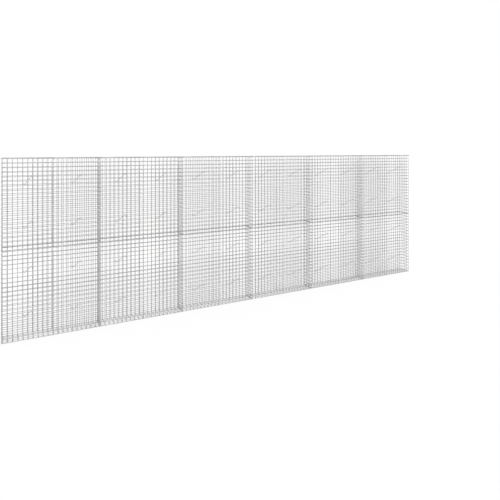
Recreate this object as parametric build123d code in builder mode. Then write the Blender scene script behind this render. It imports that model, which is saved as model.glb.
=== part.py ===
# Gabion wall: two tiers of empty welded mesh baskets, six bays long, with hooked spacers.
# X runs along the wall, the front face looks to -Y, Z is up and the wall stands on z = 0.
import os
from math import atan2, cos, sin

from build123d import *

# Counts
bay_count = 6
tier_count = 2
panel_columns = 10      # openings along a front or back panel, of which two stand side by side in a bay
panel_rows = 20         # openings up a panel
depth_columns = 4       # openings from the front mesh to the back mesh
mesh_layers = 2         # wires cross in two layers, welded where they touch

# Sizes, in millimetres
opening = 50.0          # from the middle of one wire to the middle of the next
wire = 6.0              # width of one wire
clear_depth = 200.0     # inside a basket, between the front mesh and the back mesh
seam = 0.3              # gap where panels, tiers, partitions, base and hooks rest on each other
hook_tail = 20.0        # length of the bent end of a spacer

# Spacers: rods that tie the front mesh to the back mesh, on a slant
spacer_column = 5       # upright at the middle of a rod, counted from the edge at mid-bay
spacer_rows = (5, 15)   # rails at the middle of a rod, counted from the foot
hook_share = 0.75       # of an opening, from that upright to the hook beside it

# Wires that are solid bars here, besides those at the edges
face_rows = (5, 10, 15)     # rails, counted from the foot: the next one up in front, the next one down behind
partition_rows = (5, 15)    # rails, counted from the foot

mesh_thickness = mesh_layers * wire
tier_height = panel_rows * opening + wire
tier_pitch = tier_height + seam
wall_depth = clear_depth + 2 * mesh_thickness
inner_depth = clear_depth - 2 * seam
panel_length = panel_columns * opening + wire
bay_length = 2 * (panel_length + seam)
wall_length = bay_count * bay_length
base_length = bay_length - mesh_thickness - 2 * seam
tier_names = ("lower", "upper")

os.makedirs("parts", exist_ok=True)


def spots(places_across, places_up):
    return [(across, up) for across in places_across for up in places_up]


def rails(rows, shift=0):
    """Heights of rails from the middle of a tier, each moved up by a number of rows."""
    return [(row + shift - panel_rows / 2) * opening for row in rows]


def save(piece, name):
    piece.part.label = name
    export_step(piece.part, f"parts/{name}.step")


def mesh(name, plane, upright_spots, upright_length, rail_spots, rail_length):
    """Welded mesh in one plane: bars about the given middles, fused where they cross."""
    with BuildPart() as bars:
        with BuildSketch(plane):
            with Locations(*upright_spots):
                Rectangle(wire, upright_length)
            with Locations(*rail_spots):
                Rectangle(rail_length, wire)
        extrude(amount=mesh_thickness)
    save(bars, name)


bay_middles = [(bay + 1 / 2) * bay_length - wall_length / 2 for bay in range(bay_count)]
tier_middles = [tier * tier_pitch + tier_height / 2 for tier in range(tier_count)]
rim_rows = (0, panel_rows)
rim_wire_z = (tier_height + wire) / 2
first_x = (seam + wire) / 2
last_x = first_x + panel_columns * opening
spacer_x = first_x + spacer_column * opening
rail_x = (seam + panel_length) / 2

# Front and back mesh, a node for each basket: two panels that meet at the middle of the bay. The solid bars
# are the wires at the edges, those that the spacers hook on and a rail between them. On the top rail of the
# upper tier lies a second one, the rim wire.
faces = (("front", mesh_thickness - wall_depth / 2, 1), ("back", wall_depth / 2, -1))
for side, face_y, turn in faces:
    shift = turn * opening
    upright_xs = [-last_x, shift - spacer_x, -first_x, first_x, shift + spacer_x, last_x]
    for bay, bay_middle in enumerate(bay_middles):
        for tier_name, tier_middle in zip(tier_names, tier_middles):
            rail_zs = rails(rim_rows) + rails(face_rows, turn)
            if tier_name == tier_names[-1]:
                rail_zs.append(rim_wire_z)
            mesh(
                f"{side}_mesh_bay{bay + 1}_{tier_name}",
                Plane.XZ.offset(-face_y),
                spots([bay_middle + x for x in upright_xs], [tier_middle]),
                tier_height,
                spots([bay_middle - rail_x, bay_middle + rail_x], [tier_middle + z for z in rail_zs]),
                panel_length,
            )

# Partitions between the bays and a like panel at each end. Their rails run on past the outer uprights to the
# front and the back mesh, whose edge wires close them.
depth_ys = [(column - depth_columns / 2) * opening for column in range(1, depth_columns)]
partition_rails = [middle + z for middle in tier_middles for z in rails(rim_rows) + rails(partition_rows)]
partition_names = [f"partition_mesh_{number}" for number in range(1, bay_count)]
for number, name in enumerate(["end_mesh_left", *partition_names, "end_mesh_right"]):
    mesh(
        name,
        Plane.YZ.offset(number * bay_length - (wall_length + mesh_thickness) / 2),
        spots(depth_ys, tier_middles),
        tier_height,
        spots([0], partition_rails),
        inner_depth,
    )

# Base mesh on the ground, one panel in each bay. Its crosswise wires too run on to the front and the back mesh;
# the solid ones are those at the edges and in the middle.
base_x = (base_length - wire) / 2
for bay, bay_middle in enumerate(bay_middles):
    mesh(
        f"base_mesh_bay{bay + 1}",
        Plane.XY,
        spots([bay_middle - base_x, bay_middle, bay_middle + base_x], [0]),
        inner_depth,
        spots([bay_middle], depth_ys),
        base_length,
    )

# One spacer, in the upright plane that its rod lies in: u runs from front to back, v is up.
# It hooks over a front rail one row above its middle and under a back rail one row below.
slant = atan2(2 * hook_share * opening, wall_depth)
hook_out = (wall_depth / 2 + seam) / cos(slant) + wire / 2 * (1 + sin(slant) / cos(slant))
hook_in = (wall_depth / 2 - mesh_thickness - wire / 2) / cos(slant)
hook_rise = opening + wire + seam
spacer_plane = Plane(
    origin=(0, 0, 0),
    x_dir=(-sin(slant), cos(slant), 0),
    z_dir=(cos(slant), sin(slant), 0),
)
with BuildPart() as spacer:
    with BuildLine(spacer_plane) as rod:
        Polyline(
            (-hook_out, hook_rise - hook_tail),
            (-hook_out, hook_rise),
            (-hook_in, hook_rise),
            (hook_in, -hook_rise),
            (hook_out, -hook_rise),
            (hook_out, hook_tail - hook_rise),
        )
    with BuildSketch(Plane(origin=rod.line @ 0, x_dir=spacer_plane.x_dir, z_dir=rod.line % 0)):
        Rectangle(wire, wire)
    sweep(transition=Transition.RIGHT)

# The spacers of each bay, four in each panel pair of a tier
for bay, bay_middle in enumerate(bay_middles):
    with BuildPart() as spacers:
        with Locations(*[
            (bay_middle + x, 0, tier_middle + z)
            for x in (-spacer_x, spacer_x)
            for tier_middle in tier_middles
            for z in rails(spacer_rows)
        ]):
            add(spacer.part)
    save(spacers, f"spacers_bay{bay + 1}")
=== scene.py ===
import math

import bpy
import numpy as np
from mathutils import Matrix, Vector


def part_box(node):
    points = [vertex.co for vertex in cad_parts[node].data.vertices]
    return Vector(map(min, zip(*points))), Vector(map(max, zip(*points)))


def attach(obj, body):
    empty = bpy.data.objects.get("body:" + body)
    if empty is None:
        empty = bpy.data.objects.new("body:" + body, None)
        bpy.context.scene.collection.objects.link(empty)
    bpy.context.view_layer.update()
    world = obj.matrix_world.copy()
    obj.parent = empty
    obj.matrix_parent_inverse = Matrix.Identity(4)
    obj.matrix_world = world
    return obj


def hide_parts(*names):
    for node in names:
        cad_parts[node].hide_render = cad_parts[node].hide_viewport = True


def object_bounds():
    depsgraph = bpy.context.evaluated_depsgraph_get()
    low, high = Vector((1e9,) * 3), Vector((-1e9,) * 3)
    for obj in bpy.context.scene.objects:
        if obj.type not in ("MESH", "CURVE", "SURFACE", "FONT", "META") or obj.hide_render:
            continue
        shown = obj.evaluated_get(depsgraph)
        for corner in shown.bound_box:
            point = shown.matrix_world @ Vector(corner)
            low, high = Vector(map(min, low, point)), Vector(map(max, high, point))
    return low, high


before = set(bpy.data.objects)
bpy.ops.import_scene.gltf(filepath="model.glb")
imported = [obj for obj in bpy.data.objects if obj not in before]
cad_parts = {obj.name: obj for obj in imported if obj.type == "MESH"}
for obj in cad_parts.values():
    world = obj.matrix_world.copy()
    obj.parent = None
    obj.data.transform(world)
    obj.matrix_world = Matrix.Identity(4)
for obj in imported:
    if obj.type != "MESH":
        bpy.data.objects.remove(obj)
cadLow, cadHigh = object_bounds()  # the box of the solids, before anything is dressed
nodeNames = sorted(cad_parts)
axisX, axisY, axisZ = np.eye(3)
irregularitySeed = 50
rng = np.random.default_rng(irregularitySeed)  # one seed for every small irregularity
print("frame loaded:", len(nodeNames), "nodes")


# View of the photograph: eye level just over the top rim, turned towards the far end
photoView = {
    "eyeFromLeftEnd": 0.1526,  # metres along the wall
    "eyeFromMiddle": 5.8683,   # metres out from the middle of the wall
    "eyeOverRim": 0.08,        # metres above the top rim
    "turn": 29.5443,           # degrees to the right of square on
    "sensorWidth": 36.0,       # millimetres
    "focalPixels": 456.085,
    "framePixels": 500,
    "axisPixel": 275.431,      # across the frame, where the camera looks square on
    "horizonPixel": 150.453,
}


def makeCamera():
    # lens = sensor width * focal pixels / frame pixels; the camera stays level, and the two shifts slide
    # the frame by the share of it that lies between its middle and the axis or the horizon
    v = photoView
    data = bpy.data.cameras.new("photoCamera")
    data.sensor_width = v["sensorWidth"]
    data.lens = data.sensor_width * v["focalPixels"] / v["framePixels"]
    data.shift_x = 0.5 - v["axisPixel"] / v["framePixels"]
    data.shift_y = v["horizonPixel"] / v["framePixels"] - 0.5
    camera = bpy.data.objects.new("photoCamera", data)
    camera.location = (cadLow.x + v["eyeFromLeftEnd"], -v["eyeFromMiddle"], cadHigh.z + v["eyeOverRim"])
    camera.rotation_euler = (math.radians(90), 0, -math.radians(v["turn"]))
    bpy.context.scene.collection.objects.link(camera)
    bpy.context.scene.camera = camera


makeCamera()
print("camera set")


# Surfaces from whole arrays
surface = {
    "sharpAngle": 50.0,        # degrees between faces, from which their edge stays sharp
}


def tubePart(points, lengths, tones):
    # points hold the rings of many like tubes as (tube, ring, side, xyz), ring k at length lengths[k];
    # each quad joins side j and j + 1 of ring k to ring k + 1, and a flat face closes each end
    count, rings, sides = points.shape[:3]
    index = np.arange(count * rings * sides).reshape(count, rings, sides)
    beside = np.roll(index, -1, axis=2)
    quads = np.stack([index[:, :-1], beside[:, :-1], beside[:, 1:], index[:, 1:]], axis=-1).reshape(-1, 4)
    ends = np.concatenate([index[:, 0, ::-1], index[:, -1]])
    # u goes once round the tube and v is the length along it
    around = np.arange(sides + 1) / sides
    corners = [(0, 0), (1, 0), (1, 1), (0, 1)]
    quadUv = np.stack([
        np.stack(np.broadcast_arrays(
            around[None, du:sides + du], lengths[dv:rings - 1 + dv, None]), axis=-1)
        for du, dv in corners], axis=2)
    quadUv = np.broadcast_to(quadUv.reshape(1, -1, 2), (count, quadUv.size // 2, 2)).reshape(-1, 2)
    return {
        "points": points.reshape(-1, 3),
        "faces": [quads, ends],
        "uv": [quadUv, np.zeros((ends.size, 2))],
        "tone": np.repeat(tones, rings * sides),
    }


def putMesh(name, parts, material, node):
    # the parts are stacked into one surface, the point numbers of each moved on past those before it
    starts = np.cumsum([0] + [len(p["points"]) for p in parts[:-1]])
    faces = [f + start for p, start in zip(parts, starts) for f in p["faces"]]
    sizes = np.concatenate([np.full(len(f), f.shape[1]) for f in faces])
    corners = np.concatenate([f.ravel() for f in faces])
    points = np.concatenate([p["points"] for p in parts])
    uv = np.concatenate([u for p in parts for u in p["uv"]])
    tone = np.concatenate([p["tone"] for p in parts])
    mesh = bpy.data.meshes.new(name)
    mesh.vertices.add(len(points))
    mesh.vertices.foreach_set("co", points.astype(np.float32).ravel())
    mesh.loops.add(len(corners))
    mesh.loops.foreach_set("vertex_index", corners.astype(np.int32))
    mesh.polygons.add(len(sizes))
    mesh.polygons.foreach_set("loop_start", (np.cumsum(sizes) - sizes).astype(np.int32))
    mesh.polygons.foreach_set("use_smooth", np.ones(len(sizes), bool))
    mesh.update(calc_edges=True)
    mesh.uv_layers.new(name="alongWire").data.foreach_set("uv", uv.astype(np.float32).ravel())
    mesh.attributes.new("wireToneAndPaintedLight", "FLOAT", "POINT").data.foreach_set("value", tone.astype(np.float32))
    mesh.set_sharp_from_angle(angle=math.radians(surface["sharpAngle"]))
    mesh.materials.append(material)
    piece = bpy.data.objects.new(name, mesh)
    bpy.context.scene.collection.objects.link(piece)
    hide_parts(node)
    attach(piece, "root")


# Galvanised wire: dull zinc with a soft spangle, fine drawing lines along the wire, each wire a little
# lighter or darker than the next at random, and painted light on the seam, partition and base wires, which
# are drawn lighter
zincFinish = {
    "meshColour": (0.51, 0.51, 0.51),
    "spacerColour": (0.58, 0.58, 0.58),
    "metal": 0.4,
    "toneSpread": 0.16,        # lightest to darkest wire of random tone, as a share of the colour; it also scales the painted light on the lighter seam, partition and base wires
    "mottleScale": 30.0,
    "mottleDetail": 4,
    "mottleSpread": 0.2,
    "spangleScale": 240.0,
    "spangleSpread": 0.1,
    "roughness": (0.36, 0.58),
    "drawLines": (26.0, 3.0),  # round the wire, along a metre
    "drawDetail": 3,
    "drawDepth": 0.00025,
    "drawStrength": 0.3,
}


def addMath(nodes, links, operation, first, second, third=None):
    # one step of sums on the values of two or three sockets or numbers
    step = nodes.new("ShaderNodeMath")
    step.operation = operation
    for socket, value in zip(step.inputs, (first, second, third)):
        if isinstance(value, (int, float)):
            socket.default_value = value
        elif value is not None:
            links.new(value, socket)
    return step.outputs[0]


def zincMaterial(name, colour):
    # colour times a brightness that varies from wire to wire, with painted light on the seam, partition
    # and base wires, in clouds and from grain to grain of the spangle, with the roughness of each grain
    # and raised lines along the wire
    z = zincFinish
    material = bpy.data.materials.new(name)
    material.use_nodes = True
    nodes, links = material.node_tree.nodes, material.node_tree.links
    shader = nodes["Principled BSDF"]
    shader.inputs["Metallic"].default_value = z["metal"]
    place = nodes.new("ShaderNodeTexCoord")

    mottle = nodes.new("ShaderNodeTexNoise")
    mottle.inputs["Scale"].default_value = z["mottleScale"]
    mottle.inputs["Detail"].default_value = z["mottleDetail"]
    links.new(place.outputs["Object"], mottle.inputs["Vector"])
    spangle = nodes.new("ShaderNodeTexVoronoi")
    spangle.inputs["Scale"].default_value = z["spangleScale"]
    links.new(place.outputs["Object"], spangle.inputs["Vector"])
    spangleTone = nodes.new("ShaderNodeSeparateColor")
    links.new(spangle.outputs["Color"], spangleTone.inputs["Color"])
    wire = nodes.new("ShaderNodeAttribute")
    wire.attribute_name = "wireToneAndPaintedLight"

    # brightness = 1 + spreads * (each pattern - its middle)
    spread = z["toneSpread"]
    level = addMath(nodes, links, "MULTIPLY_ADD", wire.outputs["Fac"], spread, 1 - spread / 2)
    cloud = addMath(nodes, links, "SUBTRACT", mottle.outputs["Fac"], 0.5)
    level = addMath(nodes, links, "MULTIPLY_ADD", cloud, z["mottleSpread"] * 2, level)
    grain = addMath(nodes, links, "SUBTRACT", spangleTone.outputs[0], 0.5)
    level = addMath(nodes, links, "MULTIPLY_ADD", grain, z["spangleSpread"], level)
    tint = nodes.new("ShaderNodeVectorMath")
    tint.operation = "SCALE"
    tint.inputs[0].default_value = colour
    links.new(level, tint.inputs["Scale"])
    links.new(tint.outputs[0], shader.inputs["Base Color"])

    rough = nodes.new("ShaderNodeMapRange")
    rough.inputs["To Min"].default_value = z["roughness"][0]
    rough.inputs["To Max"].default_value = z["roughness"][1]
    links.new(spangleTone.outputs[1], rough.inputs["Value"])
    links.new(rough.outputs["Result"], shader.inputs["Roughness"])

    along = nodes.new("ShaderNodeUVMap")
    along.uv_map = "alongWire"
    stretch = nodes.new("ShaderNodeMapping")
    stretch.inputs["Scale"].default_value = (*z["drawLines"], 1)
    links.new(along.outputs["UV"], stretch.inputs["Vector"])
    lines = nodes.new("ShaderNodeTexNoise")
    lines.inputs["Scale"].default_value = 1.0
    lines.inputs["Detail"].default_value = z["drawDetail"]
    links.new(stretch.outputs["Vector"], lines.inputs["Vector"])
    bump = nodes.new("ShaderNodeBump")
    bump.inputs["Strength"].default_value = z["drawStrength"]
    bump.inputs["Distance"].default_value = z["drawDepth"]
    links.new(lines.outputs["Fac"], bump.inputs["Height"])
    links.new(bump.outputs["Normal"], shader.inputs["Normal"])
    return material


meshZinc = zincMaterial("meshZinc", zincFinish["meshColour"])
spacerZinc = zincMaterial("spacerZinc", zincFinish["spacerColour"])
print("materials made")


# Welded mesh: round wires in two layers, pressed into each other and welded at every crossing
meshWire = {
    "diameter": 0.006,
    "opening": 0.05,         # middle to middle
    "seam": 0.0003,          # between two panels that touch
    "setDown": 0.0009,       # how deep the crossing wires are pressed into each other
    "sides": 10,
    "railRings": 2,
    "uprightRings": 4,
    "bow": 0.0006,           # the most that a wire strays from straight
    "paintedLightTone": 3.0,         # painted light: lightness of the wires where panels meet, at partitions and in the base, lit copies of the zinc drawn lighter than the rest; other wires have random tones from 0 to 1
    "cutBevel": 0.0007,      # worn edge of a cut end
    "weldReach": 0.0052,     # from a crossing to the tip of the squeezed out metal
    "weldThickness": 0.0032,
    "weldTaper": 0.55,       # reach at the top and the bottom of a weld spot, as a share
    "weldLeast": 0.86,       # smallest weld spot, as a share of the largest
    "weldTone": 0.6,         # lightness of the lightest weld spot
}


def straightWires(starts, along, across, inward, length, between, paintedLightWires=()):
    # a round wire: rings about a straight line, moved sideways by bow * sin(pi * s / length) at length s
    # with the wire's own bow, and drawn in by the bevel at the two cut ends
    m = meshWire
    count, sides, radius, bevel = len(starts), m["sides"], m["diameter"] / 2, m["cutBevel"]
    s = np.concatenate([[0, bevel], np.linspace(0, length, between + 2)[1:-1], [length - bevel, length]])
    ringRadius = np.full(len(s), radius)
    ringRadius[[0, -1]] = radius - bevel
    handed = np.sign(np.dot(np.cross(across, inward), along))
    turn = handed * (np.arange(sides) + 0.5) / sides * 2 * np.pi
    bow = rng.uniform(-m["bow"], m["bow"], count)
    bow[[0, -1]] = 0  # edge wires stay true, so that panels meet
    ring = np.cos(turn)[:, None] * across + np.sin(turn)[:, None] * inward
    sway = bow[:, None] * np.sin(np.pi * s / length)
    points = (
        starts[:, None, None, :]
        + (s[:, None] * along)[None, :, None, :]
        + (sway[..., None] * across)[:, :, None, :]
        + (ringRadius[:, None, None] * ring)[None]
    )
    tones = rng.uniform(0, 1, count)
    # the listed wires take the painted light tone: drawn lighter, as lit copies of the zinc
    tones[list(paintedLightWires)] = m["paintedLightTone"]
    return tubePart(points, s, tones)


def weldSpots(middles, first, second, normal):
    # squeezed out metal at a crossing: a four pointed pillow in three rings, its tips in the corners
    # between the wires, ring reach = reach * (taper, 1, taper) at heights thickness * (-1/2, 0, 1/2)
    m = meshWire
    handed = np.sign(np.dot(np.cross(first, second), normal))
    turn = handed * (np.arange(4) + 0.5) / 4 * 2 * np.pi
    ring = np.cos(turn)[:, None] * first + np.sin(turn)[:, None] * second
    reach = m["weldReach"] * np.array([m["weldTaper"], 1, m["weldTaper"]])
    height = m["weldThickness"] * np.array([-0.5, 0, 0.5])
    shape = reach[:, None, None] * ring + height[:, None, None] * normal
    size = rng.uniform(m["weldLeast"], 1, len(middles))
    points = middles[:, None, None, :] + size[:, None, None, None] * shape
    return tubePart(points, height, rng.uniform(0, m["weldTone"], len(middles)))


def evenWires(extent):
    # wires one opening apart, the first and the last at the edges
    radius = meshWire["diameter"] / 2
    return np.linspace(radius, extent - radius, round(extent / meshWire["opening"]) + 1)


def innerWires(extent):
    # wires one opening apart about the middle, with an open strip to the front and the back mesh
    return extent / 2 + meshWire["opening"] * np.array([-1, 0, 1])


def weldedPanel(corner, acrossAxis, upAxis, outAxis, width, height, columnAt, paintedLightWires=()):
    # corner is the lowest outer corner of the panel; rails lie in the outer layer, one every opening, and
    # the uprights in the inner layer at the given places. The listed uprights are drawn lighter, as
    # painted light
    m = meshWire
    radius = m["diameter"] / 2
    rowAt = evenWires(height)
    railDepth, uprightDepth = -radius, m["setDown"] - 3 * radius
    rails = straightWires(
        corner + rowAt[:, None] * upAxis + railDepth * outAxis,
        acrossAxis, upAxis, outAxis, width, m["railRings"])
    uprights = straightWires(
        corner + columnAt[:, None] * acrossAxis + uprightDepth * outAxis,
        upAxis, acrossAxis, outAxis, height, m["uprightRings"], paintedLightWires)
    inside = m["weldReach"] * math.sqrt(0.5)  # welds at the rim stay within the panel
    across, up = np.meshgrid(
        np.clip(columnAt, inside, width - inside), np.clip(rowAt, inside, height - inside), indexing="ij")
    crossings = (
        corner + across.reshape(-1, 1) * acrossAxis + up.reshape(-1, 1) * upAxis
        + (railDepth + uprightDepth) / 2 * outAxis)
    return [rails, uprights, weldSpots(crossings, acrossAxis, upAxis, outAxis)]


def dressMesh(node):
    # the node's box says where its panels lie and its name which way they face
    m = meshWire
    low, high = (np.array(corner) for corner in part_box(node))
    size = high - low
    if node.startswith(("front", "back")):
        # two panels that meet at the middle of the bay, in the upper tier with a rim wire on the top rails
        out, outerY = (-axisY, low[1]) if node.startswith("front") else (axisY, high[1])
        width = (size[0] - m["seam"]) / 2
        rim = m["diameter"] if node.endswith("upper") else 0
        corners = np.array([low[0], outerY, low[2]]) + np.array([[0], [width + m["seam"]]]) * axisX
        parts = []
        for corner in corners:
            parts += weldedPanel(
                # the edge uprights at each seam between panels are drawn lighter: painted light
                corner, axisX, axisZ, out, width, size[2] - rim, evenWires(width), (0, -1))
        if rim:
            starts = corners + (size[2] - rim / 2) * axisZ - rim / 2 * out
            parts.append(straightWires(starts, axisX, axisZ, out, width, m["railRings"]))
    elif node.startswith("base"):
        # one panel, with a lengthwise wire along the foot of the front and of the back mesh too; all of
        # these but the one at the back are drawn lighter, as painted light
        edges = evenWires(size[1])[[0, -1]]
        columnAt = np.sort(np.concatenate([edges, innerWires(size[1])]))
        paintedLightBaseWires = range(len(columnAt) - 1)
        parts = weldedPanel(low, axisY, axisX, -axisZ, size[1], size[0], columnAt, paintedLightBaseWires)
    else:
        # a panel in each tier, its three uprights drawn lighter as painted light
        out, outerX = (axisX, high[0]) if node.endswith("right") else (-axisX, low[0])
        height = (size[2] - m["seam"]) / 2
        corner = np.array([outerX, low[1], low[2]])
        parts = []
        for foot in (0, height + m["seam"]):
            parts += weldedPanel(
                corner + foot * axisZ, axisY, axisZ, out, size[1], height, innerWires(size[1]), (0, 1, 2))
    putMesh(node + "_wires", parts, meshZinc, node)


meshNodes = [node for node in nodeNames if "_mesh_" in node]
for node in meshNodes:
    dressMesh(node)
print("mesh panels dressed:", len(meshNodes))


# Spacers: rods on a slant that hook over a rail of the front mesh and under a rail of the back mesh
spacerRod = {
    "diameter": 0.0052,
    "column": 5,            # upright at the middle of a rod, counted from the edge at mid-bay
    "rows": (5, 15),        # rails at the middle of a rod, counted from the foot of a tier
    "hookShare": 0.75,      # of an opening, from the middle upright to the hook beside it
    "tail": 0.02,
    "bendRadius": 0.007,
    "bendSteps": 6,
    "sides": 10,
}


def roundedPath(corners, radius, steps):
    # straight runs joined by parabolas: at each corner c the curve (1-q)^2 a + 2q(1-q) c + q^2 b goes
    # from a on the run before to b on the run after, both at the bend's tangent length
    before, c, after = corners[:-2], corners[1:-1], corners[2:]
    backward = (before - c) / np.linalg.norm(before - c, axis=1)[:, None]
    forward = (after - c) / np.linalg.norm(after - c, axis=1)[:, None]
    halfTurn = (np.pi - np.arccos(np.clip((backward * forward).sum(1), -1, 1))) / 2
    tangent = (radius * np.tan(halfTurn))[:, None]
    a, b = c + backward * tangent, c + forward * tangent
    q = np.linspace(0, 1, steps)[None, :, None]
    curve = (1 - q) ** 2 * a[:, None] + 2 * q * (1 - q) * c[:, None] + q ** 2 * b[:, None]
    return np.concatenate([corners[:1], curve.reshape(-1, corners.shape[1]), corners[-1:]])


def spacerRods(bayLow, bayHigh, tierFeet):
    # the rod's middle line lies in an upright plane: u runs from front to back along the slant, v is up; a
    # ring of the rod is radius * (cos(turn) * normal + sin(turn) * side) about it
    r, m = spacerRod, meshWire
    wire, radius = m["diameter"], r["diameter"] / 2
    depth = bayHigh[1] - bayLow[1]
    slant = math.atan2(2 * r["hookShare"] * m["opening"], depth)
    outer = depth / 2 / math.cos(slant) + radius * (1 + math.tan(slant))
    inner = (depth / 2 - 2 * wire - radius) / math.cos(slant)
    rise = m["opening"] + wire / 2 + radius
    corners = np.array([
        (-outer, rise - r["tail"]), (-outer, rise), (-inner, rise),
        (inner, -rise), (outer, -rise), (outer, r["tail"] - rise)])
    path = roundedPath(corners, r["bendRadius"], r["bendSteps"])
    step = np.gradient(path, axis=0)
    tangent = step / np.linalg.norm(step, axis=1)[:, None]
    uAxis = np.array([-math.sin(slant), math.cos(slant), 0])
    side = np.array([math.cos(slant), math.sin(slant), 0])
    normal = -tangent[:, 1:] * uAxis + tangent[:, :1] * axisZ
    turn = np.arange(r["sides"]) / r["sides"] * 2 * np.pi
    ring = np.cos(turn)[None, :, None] * normal[:, None, :] + np.sin(turn)[None, :, None] * side
    rod = (path[:, :1] * uAxis + path[:, 1:] * axisZ)[:, None, :] + radius * ring
    reach = m["seam"] / 2 + wire / 2 + r["column"] * m["opening"]
    columns = (bayLow[0] + bayHigh[0]) / 2 + reach * np.array([-1, 1])
    places = np.array([
        (x, 0, foot + wire / 2 + row * m["opening"])
        for x in columns for foot in tierFeet for row in r["rows"]])
    lengths = np.concatenate([[0], np.cumsum(np.linalg.norm(np.diff(path, axis=0), axis=1))])
    return tubePart(places[:, None, None, :] + rod[None], lengths, rng.uniform(0, 1, len(places)))


spacerNodes = [node for node in nodeNames if node.startswith("spacers_")]
for node in spacerNodes:
    bay = node.removeprefix("spacers_")
    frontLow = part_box(f"front_mesh_{bay}_lower")[0]
    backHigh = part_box(f"back_mesh_{bay}_lower")[1]
    tierFeet = [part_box(f"front_mesh_{bay}_{tier}")[0].z for tier in ("lower", "upper")]
    rods = spacerRods(np.array(frontLow), np.array(backHigh), tierFeet)
    putMesh(node + "_rods", [rods], spacerZinc, node)
print("spacers dressed:", len(spacerNodes))


# Plain white studio: the floor shows white with the wall's own soft shadow, and so does the world
studio = {
    "floorHalf": 60.0,
    "floorBelow": 0.0005,
    "floorGlow": 0.79,
    "floorAlbedo": 0.25,
    "skyLight": 0.55,
    "keyPower": 1.6,
    "keyAngle": 20.0,
    "keyTilt": (48.0, -18.0, 0.0),
}


def seenRay(nodes, links):
    # 1 for camera, glossy and transmission rays, else 0
    path = nodes.new("ShaderNodeLightPath")
    seen = addMath(nodes, links, "MAXIMUM", path.outputs["Is Camera Ray"], path.outputs["Is Glossy Ray"])
    return addMath(nodes, links, "MAXIMUM", seen, path.outputs["Is Transmission Ray"])


def makeStudio():
    # the world is white to the camera and dimmer as a light; the floor's brightness is its glow, for the
    # camera alone, plus the light that it scatters, which the wall shades
    world = bpy.data.worlds.new("studioWorld")
    bpy.context.scene.world = world
    world.use_nodes = True
    nodes, links = world.node_tree.nodes, world.node_tree.links
    background = nodes["Background"]
    background.inputs["Color"].default_value = (1, 1, 1, 1)
    sky = studio["skyLight"]
    strength = addMath(nodes, links, "MULTIPLY_ADD", seenRay(nodes, links), 1 - sky, sky)
    links.new(strength, background.inputs["Strength"])

    half, level = studio["floorHalf"], -studio["floorBelow"]
    floorMesh = bpy.data.meshes.new("studioFloor")
    floorMesh.from_pydata(
        [(-half, -half, level), (half, -half, level), (half, half, level), (-half, half, level)],
        [], [(0, 1, 2, 3)])
    floor = bpy.data.objects.new("studioFloor", floorMesh)
    bpy.context.scene.collection.objects.link(floor)
    paint = bpy.data.materials.new("studioFloor")
    paint.use_nodes = True
    nodes, links = paint.node_tree.nodes, paint.node_tree.links
    nodes.remove(nodes["Principled BSDF"])
    matt = nodes.new("ShaderNodeBsdfDiffuse")
    matt.inputs["Color"].default_value = (*[studio["floorAlbedo"]] * 3, 1)
    glow = nodes.new("ShaderNodeEmission")
    glowLevel = addMath(nodes, links, "MULTIPLY", seenRay(nodes, links), studio["floorGlow"])
    links.new(glowLevel, glow.inputs["Strength"])
    both = nodes.new("ShaderNodeAddShader")
    links.new(matt.outputs[0], both.inputs[0])
    links.new(glow.outputs[0], both.inputs[1])
    links.new(both.outputs[0], nodes["Material Output"].inputs["Surface"])
    floorMesh.materials.append(paint)

    key = bpy.data.lights.new("softKey", "SUN")
    key.energy = studio["keyPower"]
    key.angle = math.radians(studio["keyAngle"])
    keyObject = bpy.data.objects.new("softKey", key)
    keyObject.rotation_euler = [math.radians(angle) for angle in studio["keyTilt"]]
    bpy.context.scene.collection.objects.link(keyObject)


makeStudio()
bpy.context.scene.view_settings.view_transform = "Standard"
print("studio set")
